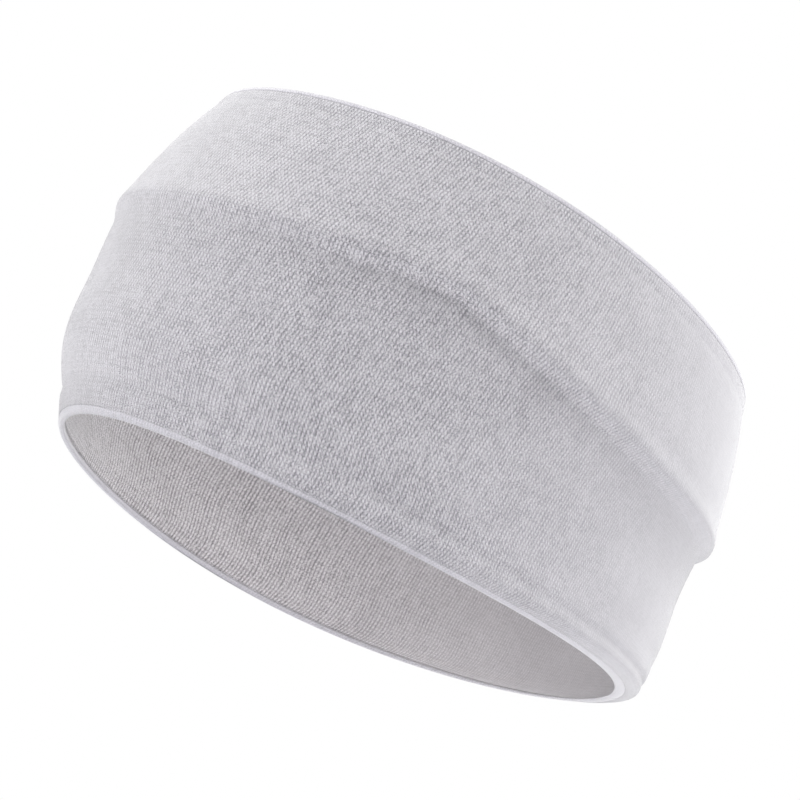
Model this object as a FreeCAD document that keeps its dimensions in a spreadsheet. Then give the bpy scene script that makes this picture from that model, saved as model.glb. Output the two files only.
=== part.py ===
import FreeCAD, Part
import os

# Wide sports headband in double-layer stretch knit, at the size it takes when it is worn.
# It stands on its lower edge: +Z points to the crown, +X along the head's length from brow
# to nape, and the origin is under the middle of the ring. One knitted tube is folded into an
# outer and an inner layer. Both edges are turned, and the turned-in hems lie between the layers.

doc = FreeCAD.newDocument("sports_headband")

# ---------------------------------------------------------------- driving dimensions, in mm
dims = doc.addObject("Spreadsheet::Sheet", "dims")
DIMENSIONS = [
    # the largest girth, just over the hem ridge
    ("ridge_length", 184, "brow to nape, outside"),
    ("ridge_width", 154, "side to side, outside"),
    ("ridge_height", 64, "height of the ridge at the sides of the head"),
    ("ridge_margin", 2.5, "height over the ridge at which the cloth starts to draw in"),
    ("ridge_rise", 5, "how far the ridge arches above its ends"),
    ("ridge_tilt", -1.3, "slope of the ridge towards the nape, in degrees"),
    # the upper edge
    ("crown_length", 160, "brow to nape, outside"),
    ("crown_width", 128, "side to side, outside"),
    ("crown_shift", 2.2, "how far the ring sits towards the nape"),
    ("crown_height", 104, "height of the upper edge at the sides of the head"),
    ("crown_rise", 4.4, "how far the upper edge arches above its ends"),
    ("crown_tilt", -3.8, "slope of the upper edge towards the nape, in degrees"),
    # the waist, where the cloth turns in towards the lower edge
    ("waist_length", 180, "brow to nape, outside"),
    ("waist_width", 151, "side to side, outside"),
    ("waist_shift", 1.6, "how far the ring sits towards the nape"),
    ("waist_height", 27, "height above the lower edge"),
    # the lower edge
    ("foot_length", 167, "brow to nape, outside"),
    ("foot_width", 146, "side to side, outside"),
    ("foot_shift", 6.6, "how far the ring sits towards the nape"),
    # swell of the cloth between those rings
    ("foot_swell", 2, "extra length and width half way from the lower edge to the waist"),
    ("crown_swell", 1.5, "extra length and width between the ridge and the upper edge"),
    # cloth
    ("outer_cloth", 1.0, "thickness of the outer layer"),
    ("inner_cloth", 0.9, "thickness of the inner layer"),
    ("hem_cloth", 0.9, "thickness of the turned-in hems, which is the step at the ridge"),
    ("fold_depth", 3, "depth of the turned edge itself"),
    ("fold_bevel", 0.7, "bevel that eases each arris of the turned edge"),
    ("lower_hem", 9, "height of the line where the lower hem ends"),
    ("stitch_depth", 0.8, "depth of the row of stitching at a hem's free edge"),
    ("brim_margin", 2, "clear height between the upper edge's fold and the strip under it"),
    # room for the trimming forms
    ("overrun", 8, "how far the untrimmed forms run past the upper edge"),
    ("trim_reach", 240, "length and width of the forms that trim"),
]
CROWN_STRIPS = 3  # strips of the head form between the ridge and the strip of the upper edge
for row, (alias, value, meaning) in enumerate(DIMENSIONS, start=1):
    dims.set("A%d" % row, meaning)
    dims.set("B%d" % row, str(value))
    dims.setAlias("B%d" % row, alias)
doc.recompute()


# ---------------------------------------------------------------- small helpers
def bind(piece, **expressions):
    """Bind properties of a piece to expressions; a dot in a property is written as two underscores."""
    for name, expression in expressions.items():
        piece.setExpression(name.replace("__", "."), expression)


def combine(kind, name, *pieces):
    """Part::Cut of two pieces, or Part::MultiFuse or Part::MultiCommon of several."""
    result = doc.addObject(kind, name)
    if kind == "Part::Cut":
        result.Base, result.Tool = pieces
    else:
        result.Shapes = list(pieces)
    result.Refine = False
    return result


# ---------------------------------------------------------------- the rings of the head form
def between(low, high, share):
    """Expression for the value a share of the way from one value to another."""
    return "((%s) * (1 - (%s)) + (%s) * (%s))" % (low, share, high, share)


# height, tilt, length, width and shift of each ring, from the lower edge up
FOOT = ("0", "0", "dims.foot_length", "dims.foot_width", "dims.foot_shift")
WAIST = ("dims.waist_height", "0", "dims.waist_length", "dims.waist_width", "dims.waist_shift")
RIDGE = ("dims.ridge_height + dims.ridge_margin", "dims.ridge_tilt",
         "dims.ridge_length", "dims.ridge_width", "0")
EDGE = ("dims.crown_height", "dims.crown_tilt",
        "dims.crown_length", "dims.crown_width", "dims.crown_shift")


def ring_at(low, high, share, swell="0"):
    """The ring a share of the way from one ring to another, swollen a little outwards."""
    height, tilt, length, width, shift = (between(*ends, share) for ends in zip(low, high))
    return (height, tilt, length + " + " + swell, width + " + " + swell, shift)


# shares of the way from the ridge to the upper edge: the foot of the strip that holds the whole
# of the arched upper fold, and the end of the untrimmed form
RIDGE_TO_EDGE = "(dims.crown_height - (" + RIDGE[0] + "))"
BRIM = "(1 - (dims.crown_rise + dims.fold_depth + dims.brim_margin) / " + RIDGE_TO_EDGE + ")"
PAST_EDGE = "1 + dims.overrun / " + RIDGE_TO_EDGE
LEVELS = [FOOT, ring_at(FOOT, WAIST, "1 / 2", "dims.foot_swell"), WAIST, RIDGE]
for step in range(1, CROWN_STRIPS + 1):
    share = "%s * %d / %d" % (BRIM, step, CROWN_STRIPS)
    LEVELS.append(ring_at(RIDGE, EDGE, share, "dims.crown_swell"))
LEVELS.append(ring_at(RIDGE, EDGE, PAST_EDGE))


def ring(name, sizes, depth):
    """One elliptical ring of a form, drawn in by a depth of cloth."""
    height, tilt, length, width, shift = sizes
    ellipse = doc.addObject("Part::Ellipse", name)
    ellipse.Placement.Rotation = FreeCAD.Rotation(FreeCAD.Vector(0, 1, 0), 1)
    bind(
        ellipse,
        MajorRadius="(" + length + ") / 2 - (" + depth + ")",
        MinorRadius="(" + width + ") / 2 - (" + depth + ")",
        Placement__Base__x=shift,
        Placement__Base__z=height,
        Placement__Rotation__Angle="-(" + tilt + ")",
    )
    return ellipse


def head_form(name, depth):
    """Solid head form at a depth under the outermost cloth: ruled strips through all the rings."""
    form = doc.addObject("Part::Loft", name)
    form.Sections = [
        ring("%s_ring_%d" % (name, number), sizes, depth)
        for number, sizes in enumerate(LEVELS, start=1)
    ]
    form.Solid = True
    form.Ruled = True
    return form


# ---------------------------------------------------------------- trimming forms
def under_arch(name, height, length, rise, tilt):
    """Everything under an arch that runs from brow to nape: a large cylinder across the head."""
    radius = "((" + length + ") ^ 2 / (8 * " + rise + ") + " + rise + " / 2)"
    arch = doc.addObject("Part::Cylinder", name)
    arch.Placement.Rotation = FreeCAD.Rotation(FreeCAD.Vector(1, 0, 0), -90)
    bind(
        arch,
        Radius=radius,
        Height="dims.trim_reach",
        Placement__Base__x=radius + " * sin(" + tilt + ")",
        Placement__Base__y="-dims.trim_reach / 2",
        Placement__Base__z=height + " - " + radius + " * cos(" + tilt + ")",
    )
    return arch


def slab(name, low, high):
    """A level slab between two heights, wider than the headband."""
    block = doc.addObject("Part::Box", name)
    bind(
        block,
        Length="dims.trim_reach",
        Width="dims.trim_reach",
        Height="(" + high + ") - (" + low + ")",
        Placement__Base__x="-dims.trim_reach / 2",
        Placement__Base__y="-dims.trim_reach / 2",
        Placement__Base__z=low,
    )
    return block


def crown_arch(name, drop):
    return under_arch(name, "dims.crown_height - (" + drop + ")", "dims.crown_length",
                      "dims.crown_rise", "dims.crown_tilt")


def ridge_arch(name, lift):
    return under_arch(name, "dims.ridge_height + (" + lift + ")", "dims.ridge_length",
                      "dims.ridge_rise", "dims.ridge_tilt")


# depths of the cloth faces under the outermost face, which is that of the cloth over the hems
hem_face = head_form("hem_face", "0")
outer_face = head_form("outer_face", "dims.hem_cloth")
hem_lining = head_form("hem_lining", "dims.outer_cloth")
middle_face = head_form("middle_face", "dims.hem_cloth + dims.outer_cloth")
inner_face = head_form("inner_face", "dims.hem_cloth + dims.outer_cloth + dims.inner_cloth")

between_folds = combine(
    "Part::MultiCommon", "between_folds",
    crown_arch("under_upper_fold", "dims.fold_depth"),
    slab("above_lower_fold", "dims.fold_depth", "dims.crown_height + dims.overrun"),
)


def above_ridge(name, form, lift):
    """The part of a form over the arched ridge line, raised by a lift."""
    return combine("Part::Cut", name, form, ridge_arch(name + "_arch", lift))


def below(name, form, height):
    """The part of a form under a level height."""
    return combine("Part::MultiCommon", name, form, slab(name + "_slab", "0", height))


# ---------------------------------------------------------------- outer layer
# Its outside steps out where it drapes over the free edges of the two hems.
outside = combine(
    "Part::MultiFuse", "outside",
    outer_face,
    above_ridge("outside_upper", hem_face, "0"),
    below("outside_lower", hem_face, "dims.lower_hem"),
)
underside = combine(
    "Part::MultiFuse", "underside",
    middle_face,
    above_ridge("underside_upper", hem_lining, "dims.outer_cloth"),
    below("underside_lower", hem_lining, "dims.lower_hem - dims.outer_cloth"),
)
outer_layer = combine(
    "Part::MultiCommon", "outer_layer",
    combine("Part::Cut", "outer_wall", outside, underside),
    between_folds,
)

# ---------------------------------------------------------------- inner layer
inner_layer = combine(
    "Part::MultiCommon", "inner_layer",
    combine("Part::Cut", "inner_wall", middle_face, inner_face),
    between_folds,
)

# ---------------------------------------------------------------- turned-in hems and stitching
# The hem cloth fills the space between the layers; its free edge carries a row of stitching.
hem_wall = combine("Part::Cut", "hem_wall", hem_lining, middle_face)
STITCH_EDGE = "dims.outer_cloth + dims.stitch_depth"
LOWER_STITCH_EDGE = "dims.lower_hem - dims.outer_cloth - dims.stitch_depth"

upper_hem_facing = combine(
    "Part::MultiCommon", "upper_hem_facing",
    above_ridge("upper_hem_wall", hem_wall, STITCH_EDGE),
    crown_arch("under_crown_fold", "dims.fold_depth"),
)
upper_hem_stitching = combine(
    "Part::MultiCommon", "upper_hem_stitching",
    above_ridge("upper_stitch_wall", hem_wall, "dims.outer_cloth"),
    ridge_arch("under_stitching", STITCH_EDGE),
)
lower_hem_facing = combine(
    "Part::MultiCommon", "lower_hem_facing",
    hem_wall, slab("lower_facing_zone", "dims.fold_depth", LOWER_STITCH_EDGE),
)
lower_hem_stitching = combine(
    "Part::MultiCommon", "lower_hem_stitching",
    hem_wall, slab("lower_stitch_zone", LOWER_STITCH_EDGE, "dims.lower_hem - dims.outer_cloth"),
)

# ---------------------------------------------------------------- turned edges
full_wall = combine("Part::Cut", "full_wall", hem_face, inner_face)
upper_edge_block = combine(
    "Part::Cut", "upper_edge_block",
    combine("Part::MultiCommon", "wall_to_crown", full_wall, crown_arch("under_crown", "0")),
    crown_arch("under_edge", "dims.fold_depth"),
)
lower_edge_block = combine(
    "Part::MultiCommon", "lower_edge_block",
    full_wall,
    slab("lower_edge_zone", "0", "dims.fold_depth"),
)


def turned_edge(name, block, on_rim):
    """Turned edge of the cloth: a block of the full wall with the two arrises of its rim bevelled."""
    doc.recompute()
    rims = [
        (number, dims.fold_bevel, dims.fold_bevel)
        for number, edge in enumerate(block.Shape.Edges, start=1)
        if edge.isClosed() and on_rim(edge.CenterOfMass.z)
    ]
    fold = doc.addObject("Part::Chamfer", name)
    fold.Base = block
    fold.Edges = rims
    return fold


# the rim's middle height lies half of its rise under its top, give or take half a fold
CROWN_RIM = dims.crown_height - dims.crown_rise / 2 - dims.fold_depth / 2
upper_edge_fold = turned_edge("upper_edge_fold", upper_edge_block, lambda z: z > CROWN_RIM)
lower_edge_fold = turned_edge("lower_edge_fold", lower_edge_block, lambda z: z < dims.fold_depth / 2)

# ---------------------------------------------------------------- check and write the pieces
PIECES = [
    outer_layer,
    inner_layer,
    upper_edge_fold,
    lower_edge_fold,
    upper_hem_facing,
    lower_hem_facing,
    upper_hem_stitching,
    lower_hem_stitching,
]
doc.recompute()
for item in doc.Objects:
    if {"Invalid", "Error"} & set(item.State):
        raise RuntimeError(item.Name + " did not compute: " + str(item.State))
os.makedirs("parts", exist_ok=True)
for piece in PIECES:
    piece.Label = piece.Name
    shape = piece.Shape
    if shape.isNull() or not shape.isValid() or len(shape.Solids) != 1:
        raise RuntimeError(piece.Label + " is not one valid solid")
for piece in PIECES:
    piece.Shape.exportStep("parts/" + piece.Label + ".step")
    box = piece.Shape.BoundBox
    print("%-20s volume %8.0f  z %6.2f to %6.2f  x %7.2f to %6.2f" %
          (piece.Label, piece.Shape.Volume, box.ZMin, box.ZMax, box.XMin, box.XMax))
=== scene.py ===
import bpy
import math
import numpy as np
from bpy.props import FloatProperty, FloatVectorProperty, IntProperty, PointerProperty
from mathutils import Matrix, Vector


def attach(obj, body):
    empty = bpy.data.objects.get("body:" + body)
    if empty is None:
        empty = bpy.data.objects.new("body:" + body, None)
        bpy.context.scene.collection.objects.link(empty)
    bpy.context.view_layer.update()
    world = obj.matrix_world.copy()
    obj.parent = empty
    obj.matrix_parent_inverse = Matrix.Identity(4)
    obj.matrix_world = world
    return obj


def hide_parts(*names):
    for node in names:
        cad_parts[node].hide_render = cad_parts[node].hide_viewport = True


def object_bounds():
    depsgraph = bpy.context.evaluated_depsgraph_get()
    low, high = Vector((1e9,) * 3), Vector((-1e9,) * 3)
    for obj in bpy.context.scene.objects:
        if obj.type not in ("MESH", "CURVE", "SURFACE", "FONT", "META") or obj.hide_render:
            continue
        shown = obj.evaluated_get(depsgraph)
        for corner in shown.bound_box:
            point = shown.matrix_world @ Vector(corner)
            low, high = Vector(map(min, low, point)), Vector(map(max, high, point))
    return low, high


bl_info = {
    "name": "Sports Headband",
    "version": (1, 0, 0),
    "blender": (4, 5, 0),
    "location": "3D View > Sidebar > Headband",
    "description": "Builds a wide double-layer knit sports headband with turned edges and a hem ridge",
    "category": "Add Mesh",
}

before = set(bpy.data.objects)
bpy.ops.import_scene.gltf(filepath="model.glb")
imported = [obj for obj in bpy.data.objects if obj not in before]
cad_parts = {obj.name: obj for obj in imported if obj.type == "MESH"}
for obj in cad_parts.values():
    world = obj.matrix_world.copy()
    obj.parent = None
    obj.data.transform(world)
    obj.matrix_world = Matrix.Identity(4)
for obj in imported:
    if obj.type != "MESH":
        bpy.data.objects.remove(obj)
CAD_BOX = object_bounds()
MM = 0.001


def hex_to_linear(code):
    """sRGB hex colour, such as D8D6DB, as linear RGB values."""
    srgb = np.array([int(code[i:i + 2], 16) for i in (0, 2, 4)]) / 255
    linear = np.where(srgb <= 0.04045, srgb / 12.92, ((srgb + 0.055) / 1.055) ** 2.4)
    return tuple(float(value) for value in linear)


# ---------------------------------------------------------------- sizes and colours
class HeadbandSizes(bpy.types.PropertyGroup):
    """Sizes of the cloth and its knit."""
    outer_cloth: FloatProperty(
        name="Outer cloth", description="Thickness of the outer layer",
        default=1.0 * MM, unit="LENGTH")
    inner_cloth: FloatProperty(
        name="Inner cloth", description="Thickness of the inner layer",
        default=0.9 * MM, unit="LENGTH")
    hem_cloth: FloatProperty(
        name="Hem cloth", description="Thickness of the turned-in hems, which is the step at the ridge",
        default=0.9 * MM, unit="LENGTH")
    edge_roll: FloatProperty(
        name="Edge roll", description="Depth of the rolled rim of the turned edges",
        default=1.6 * MM, unit="LENGTH")
    lower_hem: FloatProperty(
        name="Lower hem",
        description="Height at which the cloth of the lower hem ends and its stitching starts",
        default=4.4 * MM, unit="LENGTH")
    wale_pitch: FloatProperty(
        name="Wale pitch", description="Width of one column of stitches, as worn",
        default=0.97 * MM, unit="LENGTH", precision=5)
    course_pitch: FloatProperty(
        name="Course pitch", description="Height of one row of stitches, as worn",
        default=1.2 * MM, unit="LENGTH", precision=5)
    wale_lean: FloatProperty(
        name="Wale lean", description="How far the columns of stitches lean off the upright",
        default=math.radians(9), subtype="ANGLE")
    stitches: IntProperty(
        name="Hem stitches", description="Number of stitches round each hidden hem seam",
        default=210, min=20)


class HeadbandColours(bpy.types.PropertyGroup):
    """Colours of the yarns."""
    yarn: FloatVectorProperty(
        name="Yarn", description="Face of the knit",
        default=hex_to_linear("CDCBD0"), subtype="COLOR", size=3, min=0, max=1)
    # the gap colour is painted shade: the dark pinholes between the stitches, where shade falls
    gap: FloatVectorProperty(
        name="Gap", description="Between the stitches",
        default=hex_to_linear("5C5A61"), subtype="COLOR", size=3, min=0, max=1)
    # the turned edges are drawn lighter than the face, their gaps most of all: a painted highlight on
    # the rolled rims, over the painted shade of the gaps
    fold_yarn_painted_highlight: FloatVectorProperty(
        name="Fold yarn", description="Face of the knit on the turned edges",
        default=hex_to_linear("CECCD2"), subtype="COLOR", size=3, min=0, max=1)
    fold_gap_shade_and_highlight: FloatVectorProperty(
        name="Fold gap", description="Between the stitches on the turned edges",
        default=hex_to_linear("96949B"), subtype="COLOR", size=3, min=0, max=1)
    # the back of the knit is drawn lighter than the face: painted light on the inside of the band; its
    # gap colour is painted shade in the pinholes
    inner_yarn_painted_light: FloatVectorProperty(
        name="Inner yarn", description="Back of the knit",
        default=hex_to_linear("DEDADD"), subtype="COLOR", size=3, min=0, max=1)
    inner_gap: FloatVectorProperty(
        name="Inner gap", description="Between the stitches on the back of the knit",
        default=hex_to_linear("6C686B"), subtype="COLOR", size=3, min=0, max=1)
    thread: FloatVectorProperty(
        name="Thread", description="Sewing thread of the hidden hem seams",
        default=hex_to_linear("EFEFF2"), subtype="COLOR", size=3, min=0, max=1)
    floor: FloatVectorProperty(
        name="Floor", description="Plain pale floor",
        default=hex_to_linear("F0F0F1"), subtype="COLOR", size=3, min=0, max=1)


# ---------------------------------------------------------------- the shape of the worn band
# The rings that the cloth passes through, from the lower edge up, in millimetres. The first
# figure is the level, 0 at the lower edge and 1 at the upper; then height at the ends, rise of
# the middle above the ends, half length, half width, shift to the nape, and slope to the nape.
RINGS = np.array([
    # level height rise  length width  shift  slope
    [0.00,   6.0,  -5.5,  81.6, 73.2,   5.2,  0.035],
    [0.05,   9.4,  -4.9,  84.8, 74.2,   6.0,  0.015],
    [0.18,  21.0,  -1.8,  89.3, 75.3,   3.2, -0.003],
    [0.39,  39.4,   2.1,  90.8, 75.9,   1.3, -0.025],
    [0.60,  57.6,   5.9,  91.1, 76.4,   0.7, -0.041],
    [0.80,  77.9,   6.3,  86.8, 70.4,   1.2, -0.044],
    [1.00,  97.2,   6.5,  80.4, 63.1,   1.8, -0.038],
])
# Length, width and height of the frame that the rings are for. They scale with the frame.
RINGS_BOX = np.array([183.94, 153.98, 105.60]) * MM
FRAME_SCALE = (np.array(CAD_BOX[1]) - np.array(CAD_BOX[0])) / RINGS_BOX

BAND_HEIGHT = 104 * MM      # along the cloth, from the lower edge to the upper
RIDGE_LEVEL = 0.578
MEAN_GIRTH = 506 * MM       # worn, the mean of all levels
BROW_STRETCH = 0.18         # swing of the stretch, which is least at the nape and most at the brow
UPPER_HEM_START = 6.6 * MM  # from the ridge up to the free edge of the upper hem
THREAD_SWAY = 0.5 * MM
THREAD_RADIUS = 0.16 * MM
AIR = 0.05 * MM             # between a hem and the outer layer
LAYER_AIR = 0.32 * MM       # between the layers, over and above the hems
ROLL_LAP = 0.25 * MM        # how far a rolled rim laps over the ends of the two layers
ROLL_AIR = 0.2 * MM         # how much thicker a rolled rim is than the layers that it joins
AROUND = 480                # steps round the head
BAND_MIDDLE = 50 * MM       # height that the lamps point at

# Depths and heights of the relief, in millimetres
FACE_DEPTH = 0.6            # of the cloth over the hems, under the band's outermost form
STEP_IN = 2.6               # under the free edge of the upper hem
STEP_BELOW, STEP_ABOVE = 2.4, 2.0       # how far the step reaches down and up from the ridge
RECOVERY = 2.4              # of the step, by the lower edge
RECOVERY_LOW, RECOVERY_HIGH = -52, -6   # heights from the ridge between which it recovers
LOWER_STEP = 0.9            # out again over the lower hem
LOWER_STEP_LOW, LOWER_STEP_HIGH = 5.5, 9.5
PRESSED_HEIGHT, PRESSED_SHARE = 8, 0.62     # the cloth is pressed thin at the lower edge
# Bumps of the outer face: height outwards, place, and half width
SWELL = (0.8, 3.0, 3.0)         # over the free edge of the upper hem, from the ridge up
GROOVE = (-0.3, 9.8, 1.1)       # above the lower hem, from the lower edge up
CREASE = (-0.22, 5.5, 1.2)      # under the upper edge, from the upper edge down
# Wander of the ridge: height in millimetres, then place from the nape and half width in radians
TEMPLE_CORNER = (4.1, 1.72, 0.24)
DIP_BEHIND = (-2.8, 0.88, 0.42)


def smooth_between(levels, knots, values):
    """Cubic through the knots whose slope at each knot is the mean of its neighbours' slopes."""
    slopes = np.gradient(values, knots)
    index = np.clip(np.searchsorted(knots, levels, side="right") - 1, 0, len(knots) - 2)
    width = knots[index + 1] - knots[index]
    t = (levels - knots[index]) / width
    start, end = values[index], values[index + 1]
    return (
        start * (2 * t ** 3 - 3 * t ** 2 + 1)
        + end * (3 * t ** 2 - 2 * t ** 3)
        + slopes[index] * width * (t ** 3 - 2 * t ** 2 + t)
        + slopes[index + 1] * width * (t ** 3 - t ** 2)
    )


def band_point(angle, level, depth):
    """Point of the worn band, in metres.

    At an angle round the head and a level up the cloth, it lies on an ellipse whose half length,
    half width, shift, slope and rise follow RINGS, drawn in by the depth under the outermost face,
    and then scaled with the frame.
    """
    knots = RINGS[:, 0]
    height, rise, half_length, half_width, shift, slope = (
        smooth_between(level, knots, RINGS[:, column]) for column in range(1, 7))
    x = (half_length - depth / MM) * np.cos(angle)
    y = (half_width - depth / MM) * np.sin(angle)
    z = height + rise * np.sin(angle) ** 2 + slope * x
    return np.stack([x + shift, y, z], axis=-1) * MM * FRAME_SCALE


def bump(position, shape):
    """Smooth bump, a Gaussian curve of the given height, place and half width."""
    height, place, width = shape
    return height * np.exp(-((position - place) / width) ** 2)


def smooth_step(low, high, value):
    """0 below low, 1 above high, and an S curve between."""
    t = np.clip((value - low) / (high - low), 0, 1)
    return t * t * (3 - 2 * t)


def ridge_strength(angle):
    """How crisp the ridge is round the head.

    An S curve up from the brow to the sides, where it is crispest, and one down to the nape.
    """
    return (0.6 + 0.5 * smooth_step(-1.0, -0.1, np.cos(angle))
            - 0.2 * smooth_step(0.6, 1.0, np.cos(angle)))


def ridge_wander(angle):
    """How far the hem's free edge lies above its even line, in millimetres.

    Two bumps round the head: a soft corner over each temple, and a dip behind it.
    """
    side = np.pi - np.abs(np.mod(angle, 2 * np.pi) - np.pi)
    return bump(side, TEMPLE_CORNER) + bump(side, DIP_BEHIND)


def over_ridge(angle, level):
    """Height over the ridge in millimetres, and how far the cloth is under the step, from 0 to 1."""
    up = (level - RIDGE_LEVEL) * BAND_HEIGHT / MM - ridge_wander(angle)
    crisp = ridge_strength(angle)
    return up, 1 - smooth_step(-STEP_BELOW / crisp, STEP_ABOVE / crisp, up)


def over_lower_hem(level):
    """1 where the cloth lies over the lower hem, and 0 above it."""
    return 1 - smooth_step(LOWER_STEP_LOW, LOWER_STEP_HIGH, level * BAND_HEIGHT / MM)


def cloth_line(angle, level):
    """Depth of the cloth under the band's outermost form, in metres.

    The cloth steps in under the free edge of the upper hem, recovers slowly towards the lower
    edge, and steps out again over the lower hem.
    """
    up, under = over_ridge(angle, level)
    recovery = 1 - smooth_step(RECOVERY_LOW, RECOVERY_HIGH, up)
    step = ridge_strength(angle) * (STEP_IN * under - RECOVERY * recovery)
    return (FACE_DEPTH + step - LOWER_STEP * over_lower_hem(level)) * MM


def relief(angle, level):
    """Fine relief of the outer face over the cloth line, as a depth in metres.

    A swell over the free edge of the upper hem, a groove over the lower hem, and a faint crease
    under the upper edge.
    """
    up, _ = over_ridge(angle, level)
    height = level * BAND_HEIGHT / MM
    swell = ridge_strength(angle) * bump(up, SWELL)
    return -(swell + bump(height, GROOVE) + bump(BAND_HEIGHT / MM - height, CREASE)) * MM


def inner_gap(angle, level, sizes):
    """Depth of the inner layer under the cloth line: the outer cloth, the hems and a little air."""
    _, under = over_ridge(angle, level)
    hems = 1 - under + over_lower_hem(level)
    return sizes.outer_cloth + sizes.hem_cloth * hems + LAYER_AIR


# ---------------------------------------------------------------- meshes
def ring_mesh(name, points, uv, material):
    """Closed mesh from a profile carried round the head.

    points[i, j] is the place at step i round the head and step j round the profile; both close on
    themselves. uv[i, j] has one more row and column than points, so that the map has no seam gap.
    """
    around, across = points.shape[:2]
    i, j = np.meshgrid(np.arange(around), np.arange(across), indexing="ij")
    corners = [(i, j), (i + 1, j), (i + 1, j + 1), (i, j + 1)]
    faces = np.stack([(a % around) * across + b % across for a, b in corners], axis=-1).reshape(-1, 4)
    maps = np.stack([uv[a, b] for a, b in corners], axis=2).reshape(-1, 2)
    mesh = bpy.data.meshes.new(name)
    mesh.vertices.add(around * across)
    mesh.vertices.foreach_set("co", points.reshape(-1).astype(np.float32))
    mesh.loops.add(faces.size)
    mesh.loops.foreach_set("vertex_index", faces.reshape(-1).astype(np.int32))
    mesh.polygons.add(len(faces))
    mesh.polygons.foreach_set("loop_start", np.arange(0, faces.size, 4, dtype=np.int32))
    layer = mesh.uv_layers.new(name="cloth")
    layer.data.foreach_set("uv", maps.reshape(-1).astype(np.float32))
    mesh.polygons.foreach_set("use_smooth", np.ones(len(faces), bool))
    mesh.update(calc_edges=True)
    mesh.validate()
    mesh.materials.append(material)
    piece = bpy.data.objects.new(name, mesh)
    bpy.context.scene.collection.objects.link(piece)
    return piece


def squeeze(level):
    """Share of its full thickness that the cloth has: it is pressed thin towards the lower edge."""
    rise = smooth_step(0, PRESSED_HEIGHT, level * BAND_HEIGHT / MM)
    return PRESSED_SHARE + (1 - PRESSED_SHARE) * rise


def carry_round(profile_level, profile_depth, *more_depth):
    """Points of a profile of level and depth under the cloth line, carried round the head.

    Each of more_depth is a function of angle and level, with its own depth to add.
    """
    angle = np.linspace(0, 2 * np.pi, AROUND, endpoint=False)[:, None]
    level = profile_level[None, :] + 0 * angle
    depth = profile_depth[None, :] + sum(extra(angle, level) for extra in more_depth)
    return band_point(angle, level, cloth_line(angle, level) + squeeze(level) * depth)


def cloth_map(points):
    """Map of a band of cloth in metres, one row and one column longer than its points.

    Across the cloth it runs with the mean length along the profile. Round the head it runs with
    the angle, and a little faster at the nape, where the cloth is stretched less than at the brow.
    """
    across = np.linalg.norm(np.roll(points, -1, axis=1) - points, axis=-1).mean(axis=0)
    v = np.concatenate([[0], np.cumsum(across)])[None, :]
    turn = np.linspace(0, 2 * np.pi, len(points) + 1)[:, None]
    u = MEAN_GIRTH / (2 * np.pi) * (turn + BROW_STRETCH * np.sin(turn))
    return np.stack([u + 0 * v, v + 0 * u], axis=-1)


def shell_profile(low, high, steps, face, thickness, back_steps=24):
    """Closed profile of one cloth layer between two levels: its face up, its back down."""
    front = np.linspace(low, high, steps)
    back = np.linspace(high, low, back_steps)
    level = np.concatenate([front, back])
    depth = np.concatenate([face + 0 * front, face + thickness + 0 * back])
    return level, depth


# ---------------------------------------------------------------- materials
def add(tree, kind, settings=None, **inputs):
    """Adds a node, sets its settings, and sets or links its inputs; returns the node.

    An input is named by its name, or as i0, i1, i2 by its number. A node given as an input is
    linked by its first output.
    """
    node = tree.nodes.new(kind)
    for key, value in (settings or {}).items():
        setattr(node, key, value)
    for key, value in inputs.items():
        by_number = key[0] == "i" and key[1:].isdigit()
        socket = node.inputs[int(key[1:]) if by_number else key.replace("_", " ")]
        if isinstance(value, bpy.types.Node):
            value = value.outputs[0]
        if isinstance(value, bpy.types.NodeSocket):
            tree.links.new(value, socket)
        else:
            socket.default_value = value
    return node


MULTIPLY_ADD = {"operation": "MULTIPLY_ADD"}
PATTERN_2D = {"noise_dimensions": "2D"}
MIXED_COLOUR = 2            # the colour output of a Mix node, whose colour inputs are i6 and i7


def new_material(name):
    """Empty node material with its output node."""
    material = bpy.data.materials.new(name)
    material.use_nodes = True
    material.node_tree.nodes.clear()
    return material, material.node_tree


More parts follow.
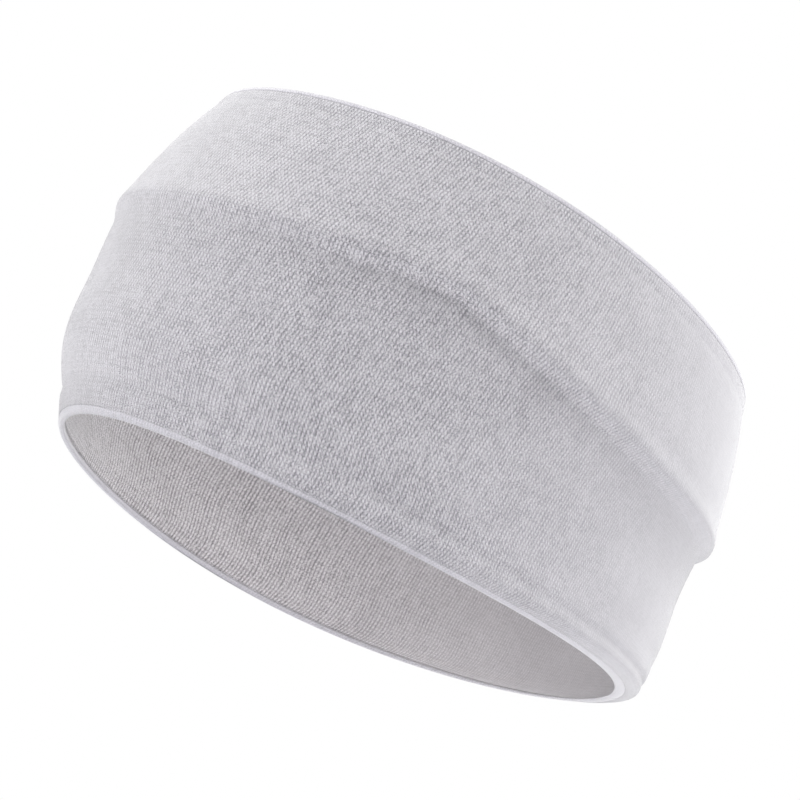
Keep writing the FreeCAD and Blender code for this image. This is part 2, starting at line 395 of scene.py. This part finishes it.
def knit_stitches(tree, sizes, clearest_at, wale_weight, lean_weight, row_weight, cross_weight):
    """Height of a jersey knit from 0 to 1, and the stitch grid it comes from.

    The sum of four waves over the stitch grid: along the columns, along the leg of the stitches
    that stands out because the columns lean, along the rows, and along the other leg. The waves
    are strongest at one angle and opposite it, and fainter between: a painted veil of fuzz sheen.
    """
    wales = round(MEAN_GIRTH / sizes.wale_pitch)
    wale_pitch = MEAN_GIRTH / wales
    uv = add(tree, "ShaderNodeUVMap", {"uv_map": "cloth"})
    # uneven yarn: the grid wanders slowly, by less than half a stitch over 9 mm
    wander = add(tree, "ShaderNodeTexNoise", PATTERN_2D,
                 Vector=uv, Scale=1 / (9 * MM), Detail=2.0, Roughness=0.5)
    offset = add(tree, "ShaderNodeVectorMath", {"operation": "SUBTRACT"},
                 i0=wander.outputs["Color"], i1=(0.5, 0.5, 0.5))
    moved = add(tree, "ShaderNodeVectorMath", MULTIPLY_ADD,
                i0=offset, i1=(0.9 * MM, 0.9 * MM, 0), i2=uv)
    place = add(tree, "ShaderNodeSeparateXYZ", Vector=moved)
    along, across = place.outputs["X"], place.outputs["Y"]
    leaning = add(tree, "ShaderNodeMath", MULTIPLY_ADD,
                  i0=across, i1=-math.tan(sizes.wale_lean), i2=along)
    column = add(tree, "ShaderNodeMath", {"operation": "DIVIDE"}, i0=leaning, i1=wale_pitch)
    row = add(tree, "ShaderNodeMath", {"operation": "DIVIDE"}, i0=across, i1=sizes.course_pitch)
    waves = (
        (column, wale_weight),
        (add(tree, "ShaderNodeMath", {"operation": "ADD"}, i0=column, i1=row), lean_weight),
        (row, row_weight),
        (add(tree, "ShaderNodeMath", {"operation": "SUBTRACT"}, i0=column, i1=row), cross_weight),
    )
    total = 0.0
    for phase, weight in waves:
        turns = add(tree, "ShaderNodeMath", {"operation": "MULTIPLY"}, i0=phase, i1=2 * math.pi)
        wave = add(tree, "ShaderNodeMath", {"operation": "COSINE"}, i0=turns)
        total = add(tree, "ShaderNodeMath", MULTIPLY_ADD, i0=wave, i1=weight, i2=total)
    # slubs: some stretches of a column, about 6 mm long and 1 mm wide, have deeper gaps, with darker
    # painted shade in them
    long_cell = add(tree, "ShaderNodeCombineXYZ",
                    X=add(tree, "ShaderNodeMath", {"operation": "MULTIPLY"}, i0=column, i1=0.9),
                    Y=add(tree, "ShaderNodeMath", {"operation": "MULTIPLY"}, i0=row, i1=0.18))
    slub = add(tree, "ShaderNodeTexNoise", PATTERN_2D,
               Vector=long_cell, Scale=1.0, Detail=1.0, Roughness=0.5)
    strength = add(tree, "ShaderNodeMath", MULTIPLY_ADD, i0=slub.outputs["Fac"], i1=1.5, i2=0.25)
    strength = add(tree, "ShaderNodeMath", {"operation": "MULTIPLY"}, i0=strength, i1=0.49)
    # painted veil: the stitches are drawn clearest at one angle round the head and opposite it, and
    # fainter between, standing in for fuzz sheen that veils the knit where the cloth turns away from the
    # camera
    turn = add(tree, "ShaderNodeMath", MULTIPLY_ADD,
               i0=along, i1=4 * math.pi / MEAN_GIRTH, i2=-2 * clearest_at)
    swing = add(tree, "ShaderNodeMath", {"operation": "COSINE"}, i0=turn)
    painted_veil_clarity = add(tree, "ShaderNodeMath", MULTIPLY_ADD, i0=swing, i1=0.38, i2=0.62)
    # each stitch takes a little more or less yarn
    cell = add(tree, "ShaderNodeCombineXYZ",
               X=add(tree, "ShaderNodeMath", {"operation": "FLOOR"}, i0=column),
               Y=add(tree, "ShaderNodeMath", {"operation": "FLOOR"}, i0=row))
    chance = add(tree, "ShaderNodeTexWhiteNoise", PATTERN_2D, Vector=cell)
    uneven = add(tree, "ShaderNodeMath", MULTIPLY_ADD, i0=chance.outputs["Value"], i1=0.26, i2=-0.13)
    # filaments: too fine to show at their real 0.02 mm, so their speckle is drawn at 0.22 mm
    speck = add(tree, "ShaderNodeTexNoise", PATTERN_2D, Vector=uv, Scale=1 / (0.22 * MM), Detail=0.0)
    grain = add(tree, "ShaderNodeMath", MULTIPLY_ADD, i0=speck.outputs["Fac"], i1=1.9, i2=-0.95)
    grain = add(tree, "ShaderNodeMath", {"operation": "ADD"}, i0=grain, i1=uneven)
    total = add(tree, "ShaderNodeMath", MULTIPLY_ADD, i0=total, i1=strength, i2=grain)
    height = add(tree, "ShaderNodeMath", MULTIPLY_ADD, i0=total, i1=painted_veil_clarity, i2=0.57)
    return add(tree, "ShaderNodeClamp", Value=height), uv


def knit_material(name, sizes, yarn, gap, clearest_at, weights, bump_depth):
    """Polyester jersey knit, dyed pale: matt yarn, painted shade in the pinholes between stitches, soft
    fuzz.

    The fuzz shows as a light sheen towards the outline; the yarn itself has no gloss.
    """
    material, tree = new_material(name)
    height, uv = knit_stitches(tree, sizes, clearest_at, *weights)
    # the dye takes a little unevenly, in clouds of 18 mm
    cloud = add(tree, "ShaderNodeTexNoise", PATTERN_2D,
                Vector=uv, Scale=1 / (18 * MM), Detail=3.0, Roughness=0.55)
    shade = add(tree, "ShaderNodeMath", MULTIPLY_ADD, i0=cloud.outputs["Fac"], i1=0.16, i2=-0.08)
    shaded = add(tree, "ShaderNodeMath", {"operation": "ADD"}, i0=height, i1=shade)
    # the knit's height mixes the yarn colour with the gap colour, which is painted shade in the pinholes
    mixed = add(tree, "ShaderNodeMix", {"data_type": "RGBA"}, Factor=shaded, i6=(*gap, 1), i7=(*yarn, 1))
    relief = add(tree, "ShaderNodeBump", Strength=0.6, Distance=bump_depth, Height=height)
    shader = add(
        tree, "ShaderNodeBsdfPrincipled",
        Base_Color=mixed.outputs[MIXED_COLOUR], Roughness=0.92, IOR=1.5, Specular_IOR_Level=0.25,
        Sheen_Weight=0.8, Sheen_Roughness=0.5, Normal=relief)
    add(tree, "ShaderNodeOutputMaterial", Surface=shader)
    return material


# where the painted veil is thinnest and the stitches show clearest: on the face over the temple near the
# camera, and on the back over the far temple, seen through the opening
NEAR_TEMPLE = math.radians(-126)
FAR_TEMPLE = math.radians(126)


def outer_knit_material():
    """Face of the knit, drawn clearest over the temple near the camera: a painted veil of fuzz sheen
    fades its stitches away from there.
    """
    scene = bpy.context.scene
    colours = scene.headband_colours
    return (bpy.data.materials.get("polyester_jersey_face")
            or knit_material("polyester_jersey_face", scene.headband_sizes, colours.yarn, colours.gap,
                             NEAR_TEMPLE, (0.42, 0.26, 0.14, 0.1), 0.22 * MM))


def edge_knit_material():
    """The same knit turned over an edge, drawn lighter and with a fainter pattern: a painted highlight
    on the rolled rims.
    """
    scene = bpy.context.scene
    colours = scene.headband_colours
    return (bpy.data.materials.get("polyester_jersey_fold_painted_highlight")
            or knit_material("polyester_jersey_fold_painted_highlight", scene.headband_sizes, colours.fold_yarn_painted_highlight,
                             colours.fold_gap_shade_and_highlight, NEAR_TEMPLE, (0.3, 0.1, 0.1, 0.1), 0.1 * MM))


def inner_knit_material():
    """Back of the knit, with its rows of purl loops, in a lighter yarn: painted light on the inside of
    the band.
    """
    scene = bpy.context.scene
    colours = scene.headband_colours
    return (bpy.data.materials.get("polyester_jersey_back_painted_light")
            or knit_material("polyester_jersey_back_painted_light", scene.headband_sizes, colours.inner_yarn_painted_light,
                             colours.inner_gap, FAR_TEMPLE, (0.6, 0.1, 0.2, 0.18), 0.3 * MM))


def thread_material():
    """Textured polyester sewing thread: matt, slightly whiter than the yarn, finely twisted."""
    ready = bpy.data.materials.get("polyester_sewing_thread")
    if ready:
        return ready
    material, tree = new_material("polyester_sewing_thread")
    colour = bpy.context.scene.headband_colours.thread
    uv = add(tree, "ShaderNodeUVMap", {"uv_map": "cloth"})
    # plies at 0.4 mm along the thread; the colour is darker between them, painted shade in the grooves
    twist = add(tree, "ShaderNodeTexWave", {"bands_direction": "DIAGONAL"},
                Vector=uv, Scale=1 / (0.4 * MM) / 20, Distortion=0.5).outputs["Fac"]
    relief = add(tree, "ShaderNodeBump", Strength=0.5, Distance=0.05 * MM, Height=twist)
    painted_shade_between_plies = (*(0.72 * value for value in colour), 1)
    mixed = add(tree, "ShaderNodeMix", {"data_type": "RGBA"},
                Factor=twist, i6=painted_shade_between_plies, i7=(*colour, 1))
    shader = add(tree, "ShaderNodeBsdfPrincipled", Base_Color=mixed.outputs[MIXED_COLOUR],
                 Roughness=0.7, IOR=1.5, Normal=relief)
    add(tree, "ShaderNodeOutputMaterial", Surface=shader)
    return material


def settle(piece, node):
    """Common facts of every piece: it rides on the band's body and stands for one node."""
    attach(piece, "root")
    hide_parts(node)


def edge_levels(sizes):
    """Levels at which the two layers meet the lower and the upper rolled rim."""
    share = sizes.edge_roll / BAND_HEIGHT
    return share, 1 - share


# ---------------------------------------------------------------- operators
class HEADBAND_OT_outer_layer(bpy.types.Operator):
    """Outer layer of jersey knit, stepped over the hems"""
    bl_idname = "headband.outer_layer"
    bl_label = "Outer layer"

    def execute(self, context):
        sizes = context.scene.headband_sizes
        low, high = edge_levels(sizes)
        level, depth = shell_profile(low, high, 150, 0.0, sizes.outer_cloth)
        points = carry_round(level, depth, relief)
        piece = ring_mesh("outer_knit", points, cloth_map(points), outer_knit_material())
        settle(piece, "outer_layer")
        return {"FINISHED"}


class HEADBAND_OT_inner_layer(bpy.types.Operator):
    """Inner layer of jersey knit, with its back to the head"""
    bl_idname = "headband.inner_layer"
    bl_label = "Inner layer"

    def execute(self, context):
        sizes = context.scene.headband_sizes
        low, high = edge_levels(sizes)
        level, depth = shell_profile(low, high, 100, 0.0, sizes.inner_cloth, back_steps=100)
        points = carry_round(level, depth, lambda angle, level: inner_gap(angle, level, sizes))
        piece = ring_mesh("inner_knit", points, cloth_map(points), inner_knit_material())
        settle(piece, "inner_layer")
        return {"FINISHED"}


def edge_roll(name, node, centre_level, half_height, outer_depth, inner_depth, sharpness=2.6):
    """A turned edge: a rounded profile carried round the rim of the band.

    The profile is a superellipse in level and depth between the cloth's face and its back.
    """
    turn = np.linspace(0, 2 * np.pi, 40, endpoint=False)
    upright = np.sign(np.sin(turn)) * np.abs(np.sin(turn)) ** (2 / sharpness)
    outward = np.sign(np.cos(turn)) * np.abs(np.cos(turn)) ** (2 / sharpness)
    level = centre_level + half_height / BAND_HEIGHT * upright
    middle = (outer_depth + inner_depth) / 2
    depth = middle - (inner_depth - outer_depth) / 2 * outward
    points = carry_round(level, depth)
    piece = ring_mesh(name, points, cloth_map(points), edge_knit_material())
    settle(piece, node)
    return piece


class HEADBAND_OT_turned_edges(bpy.types.Operator):
    """Turned upper and lower edges, where the cloth folds from the outer to the inner layer"""
    bl_idname = "headband.turned_edges"
    bl_label = "Turned edges"

    def execute(self, context):
        sizes = context.scene.headband_sizes
        half = sizes.edge_roll / 2
        back = sizes.outer_cloth + sizes.hem_cloth + sizes.inner_cloth + ROLL_AIR
        for name, node, centre_level in (
            ("upper_edge_roll", "upper_edge_fold", 1 - half / BAND_HEIGHT),
            ("lower_edge_roll", "lower_edge_fold", half / BAND_HEIGHT),
        ):
            edge_roll(name, node, centre_level, half + ROLL_LAP, 0.0, back)
        return {"FINISHED"}


class HEADBAND_OT_hems(bpy.types.Operator):
    """Turned-in hems that lie between the two layers"""
    bl_idname = "headband.hems"
    bl_label = "Turned-in hems"

    def execute(self, context):
        sizes = context.scene.headband_sizes
        low, high = edge_levels(sizes)
        face, thickness = sizes.outer_cloth + AIR, sizes.hem_cloth - 2 * AIR
        hems = (
            ("upper_hem_cloth", "upper_hem_facing", RIDGE_LEVEL + UPPER_HEM_START / BAND_HEIGHT, high),
            ("lower_hem_cloth", "lower_hem_facing", low, sizes.lower_hem / BAND_HEIGHT),
        )
        for name, node, low, high in hems:
            level, depth = shell_profile(low, high, 30, face, thickness)
            points = carry_round(level, depth)
            piece = ring_mesh(name, points, cloth_map(points), inner_knit_material())
            settle(piece, node)
        return {"FINISHED"}


class HEADBAND_OT_hem_threads(bpy.types.Operator):
    """Zigzag sewing thread along the free edge of each hem"""
    bl_idname = "headband.hem_threads"
    bl_label = "Hem threads"

    def execute(self, context):
        sizes = context.scene.headband_sizes
        start = UPPER_HEM_START - THREAD_SWAY
        for name, node, level in (
            ("upper_hem_thread", "upper_hem_stitching", RIDGE_LEVEL + start / BAND_HEIGHT),
            ("lower_hem_thread", "lower_hem_stitching", (sizes.lower_hem + THREAD_SWAY) / BAND_HEIGHT),
        ):
            self.thread(name, node, level, sizes)
        return {"FINISHED"}

    def thread(self, name, node, level, sizes):
        """Tube along a zigzag: a sine wave in level round the head, with a round section."""
        steps = sizes.stitches * 8
        angle = np.linspace(0, 2 * np.pi, steps, endpoint=False)[:, None]
        phase = angle * sizes.stitches
        turn = np.linspace(0, 2 * np.pi, 6, endpoint=False)[None, :]
        sway = (THREAD_SWAY - THREAD_RADIUS) * np.sin(phase)
        middle = sizes.outer_cloth + sizes.hem_cloth / 2
        place = level + (sway + THREAD_RADIUS * np.sin(turn)) / BAND_HEIGHT
        depth = cloth_line(angle, place) + squeeze(place) * (middle + THREAD_RADIUS * np.cos(turn))
        points = band_point(angle + 0 * turn, place, depth)
        piece = ring_mesh(name, points, cloth_map(points), thread_material())
        settle(piece, node)


class HEADBAND_OT_cloth_facts(bpy.types.Operator):
    """Meant to state the flat size of each layer of cloth; it does nothing"""
    bl_idname = "headband.cloth_facts"
    bl_label = "Cloth facts"

    def execute(self, context):
        return {"FINISHED"}


class HEADBAND_OT_stage(bpy.types.Operator):
    """Plain pale floor, soft studio light and the camera"""
    bl_idname = "headband.stage"
    bl_label = "Stage"

    def execute(self, context):
        self.floor(context)
        self.light(context)
        self.camera(context)
        return {"FINISHED"}

    def floor(self, context):
        """Level floor that the band stands on; clear from underneath for the low camera, and glowing
        faintly as painted light on the band from beneath.
        """
        half = 1.2
        mesh = bpy.data.meshes.new("floor")
        mesh.from_pydata([(-half, -half, 0), (half, -half, 0), (half, half, 0), (-half, half, 0)],
                         [], [(0, 1, 2, 3)])
        material, tree = new_material("pale_glowing_floor")
        side = add(tree, "ShaderNodeNewGeometry").outputs["Backfacing"]
        pale = (*context.scene.headband_colours.floor, 1)
        # the floor glows faintly, painted light that brightens the band's underside and inside
        matt = add(tree, "ShaderNodeBsdfPrincipled", Base_Color=pale, Roughness=0.9, IOR=1.45,
                   Emission_Color=pale, Emission_Strength=0.4)
        clear = add(tree, "ShaderNodeBsdfTransparent")
        both = add(tree, "ShaderNodeMixShader", i0=side, i1=matt, i2=clear)
        add(tree, "ShaderNodeOutputMaterial", Surface=both)
        mesh.materials.append(material)
        floor = bpy.data.objects.new("floor", mesh)
        context.scene.collection.objects.link(floor)

    def light(self, context):
        """White surroundings and large soft lamps."""
        scene = context.scene
        scene.view_settings.view_transform = "Standard"
        world = bpy.data.worlds.new("white_studio")
        scene.world = world
        world.use_nodes = True
        tree = world.node_tree
        tree.nodes.clear()
        seen = add(tree, "ShaderNodeLightPath").outputs["Is Camera Ray"]
        # the surroundings are plain white to the camera, and half as bright to the cloth
        strength = add(tree, "ShaderNodeMath", MULTIPLY_ADD, i0=seen, i1=0.5, i2=0.5)
        background = add(tree, "ShaderNodeBackground", Color=(1, 1, 1, 1), Strength=strength)
        add(tree, "ShaderNodeOutputWorld", Surface=background)
        for name, place, size, power in (
            ("overhead_softbox", (0.0, -0.45, 1.4), 0.8, 17.0),
            ("nape_softbox", (1.6, -0.1, 0.4), 1.0, 10.5),
            ("brow_softbox", (-1.65, 0.3, 0.2), 1.0, 20.5),
        ):
            lamp = bpy.data.lights.new(name, "AREA")
            lamp.size = size
            lamp.energy = power
            holder = bpy.data.objects.new(name, lamp)
            holder.location = place
            towards_band = Vector((0, 0, BAND_MIDDLE)) - Vector(place)
            holder.rotation_euler = towards_band.to_track_quat("-Z", "Y").to_euler()
            scene.collection.objects.link(holder)

    def camera(self, context):
        """Camera a little under the band's own level and rolled, so that the band leans to the right."""
        azimuth, elevation, roll = math.radians(-8.6), math.radians(-13.1), math.radians(27.7)
        distance = 1.94
        aim = Vector((0, 0, 52 * MM))
        back = Vector((math.sin(azimuth) * math.cos(elevation),
                       -math.cos(azimuth) * math.cos(elevation), math.sin(elevation)))
        level_right = Vector((math.cos(azimuth), math.sin(azimuth), 0))
        level_up = back.cross(level_right)
        right = level_right * math.cos(roll) + level_up * math.sin(roll)
        up = level_up * math.cos(roll) - level_right * math.sin(roll)
        aim = aim - right * 0.45 * MM - up * 0.97 * MM      # centres the band in the picture
        place = aim + back * distance
        lens = bpy.data.cameras.new("camera")
        lens.lens = 331.6
        lens.sensor_width = 36
        lens.clip_start, lens.clip_end = 0.01, 50
        holder = bpy.data.objects.new("camera", lens)
        holder.matrix_world = Matrix((
            (right.x, up.x, back.x, place.x),
            (right.y, up.y, back.y, place.y),
            (right.z, up.z, back.z, place.z),
            (0, 0, 0, 1),
        ))
        context.scene.collection.objects.link(holder)
        context.scene.camera = holder


OPERATORS = (
    HEADBAND_OT_outer_layer,
    HEADBAND_OT_inner_layer,
    HEADBAND_OT_turned_edges,
    HEADBAND_OT_hems,
    HEADBAND_OT_hem_threads,
    HEADBAND_OT_cloth_facts,
    HEADBAND_OT_stage,
)


class HEADBAND_PT_panel(bpy.types.Panel):
    """Buttons and sizes of the headband"""
    bl_label = "Headband"
    bl_idname = "HEADBAND_PT_panel"
    bl_space_type = "VIEW_3D"
    bl_region_type = "UI"
    bl_category = "Headband"

    def draw(self, context):
        for group in (context.scene.headband_sizes, context.scene.headband_colours):
            for name in group.bl_rna.properties.keys():
                if name not in {"rna_type", "name"}:
                    self.layout.prop(group, name)
        for operator in OPERATORS:
            self.layout.operator(operator.bl_idname)


CLASSES = (HeadbandSizes, HeadbandColours, *OPERATORS, HEADBAND_PT_panel)


def register():
    """Registers the classes, and hangs the sizes and colours on the scene."""
    for cls in CLASSES:
        bpy.utils.register_class(cls)
    bpy.types.Scene.headband_sizes = PointerProperty(type=HeadbandSizes)
    bpy.types.Scene.headband_colours = PointerProperty(type=HeadbandColours)


def unregister():
    """Undoes register."""
    del bpy.types.Scene.headband_colours
    del bpy.types.Scene.headband_sizes
    for cls in reversed(CLASSES):
        bpy.utils.unregister_class(cls)


def main():
    """Builds every piece and the stage."""
    register()
    bpy.ops.headband.outer_layer()
    bpy.ops.headband.inner_layer()
    bpy.ops.headband.turned_edges()
    bpy.ops.headband.hems()
    bpy.ops.headband.hem_threads()
    bpy.ops.headband.cloth_facts()
    bpy.ops.headband.stage()


if __name__ == "__main__":
    main()
